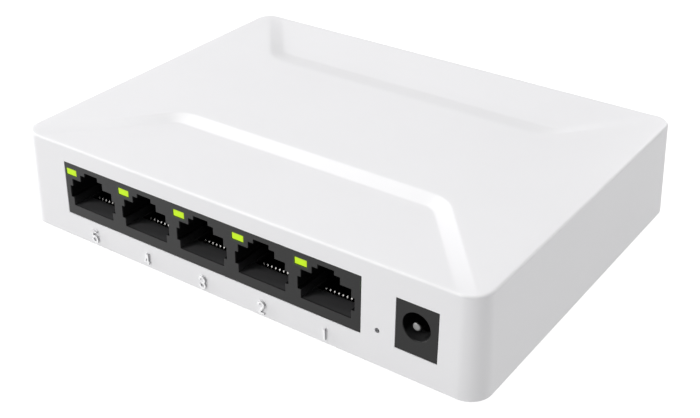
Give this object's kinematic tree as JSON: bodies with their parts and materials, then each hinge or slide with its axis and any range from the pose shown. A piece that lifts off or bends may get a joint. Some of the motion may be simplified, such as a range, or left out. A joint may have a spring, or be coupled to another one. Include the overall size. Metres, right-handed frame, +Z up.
{
  "type": "desktop network switch",
  "caption": "Small white desktop network switch: low rounded case with sloping lid recesses, a row of network sockets with lights, and a power jack on the front.",
  "frame": {"origin": "on the table, under the middle of the case", "axes": "+X to the right seen from the ports, +Y from the port side to the back, +Z up"},
  "size_m": [0.1192, 0.0886, 0.0237],
  "materials": {
    "case_white": "satin white moulding with a very fine spark texture",
    "base_white": "white moulding, a little duller than the top",
    "socket_black": "satin black glass-filled plastic",
    "contact_metal": "bright plated spring wire",
    "nickel": "nickel-plated brass",
    "light_lime": "lit lime-green epoxy",
    "lamp_green": "small unlit lamp",
    "guide_clear": "clear moulded light guide",
    "foot_rubber": "matte black rubber",
    "label_paper": "blank matt label",
    "screw_steel": "zinc-plated steel",
    "board_green": "green solder mask over glass-epoxy board",
    "chip_black": "black moulded epoxy",
    "can_metal": "satin metal can",
    "ferrite_grey": "sintered ferrite",
    "ceramic_tan": "ceramic chip"
  },
  "bodies": {
    "root": {"top_cover": "case_white", "bottom_cover": "base_white", "rating_label": "label_paper", "foot_front_left": "foot_rubber", "foot_front_right": "foot_rubber", "foot_rear_left": "foot_rubber", "foot_rear_right": "foot_rubber", "case_screw_left": "screw_steel", "case_screw_right": "screw_steel", "board_screw_left": "screw_steel", "board_screw_right": "screw_steel", "port_block": "socket_black", "port_5_contacts": "contact_metal", "port_5_light": "light_lime", "port_5_transformer": "chip_black", "port_4_contacts": "contact_metal", "port_4_light": "light_lime", "port_4_transformer": "chip_black", "port_3_contacts": "contact_metal", "port_3_light": "light_lime", "port_3_transformer": "chip_black", "port_2_contacts": "contact_metal", "port_2_light": "light_lime", "port_2_transformer": "chip_black", "port_1_contacts": "contact_metal", "port_1_light": "light_lime", "port_1_transformer": "chip_black", "power_jack_body": "socket_black", "power_jack_pin": "nickel", "power_jack_spring": "nickel", "power_light": "lamp_green", "power_light_guide": "guide_clear", "circuit_board": "board_green", "switch_chip": "chip_black", "memory_chip": "chip_black", "voltage_regulator": "chip_black", "crystal": "can_metal", "input_capacitor": "can_metal", "output_capacitor": "can_metal", "power_inductor": "ferrite_grey", "protection_diode": "chip_black", "isolation_capacitor": "ceramic_tan"}
  },
  "joints": []
}
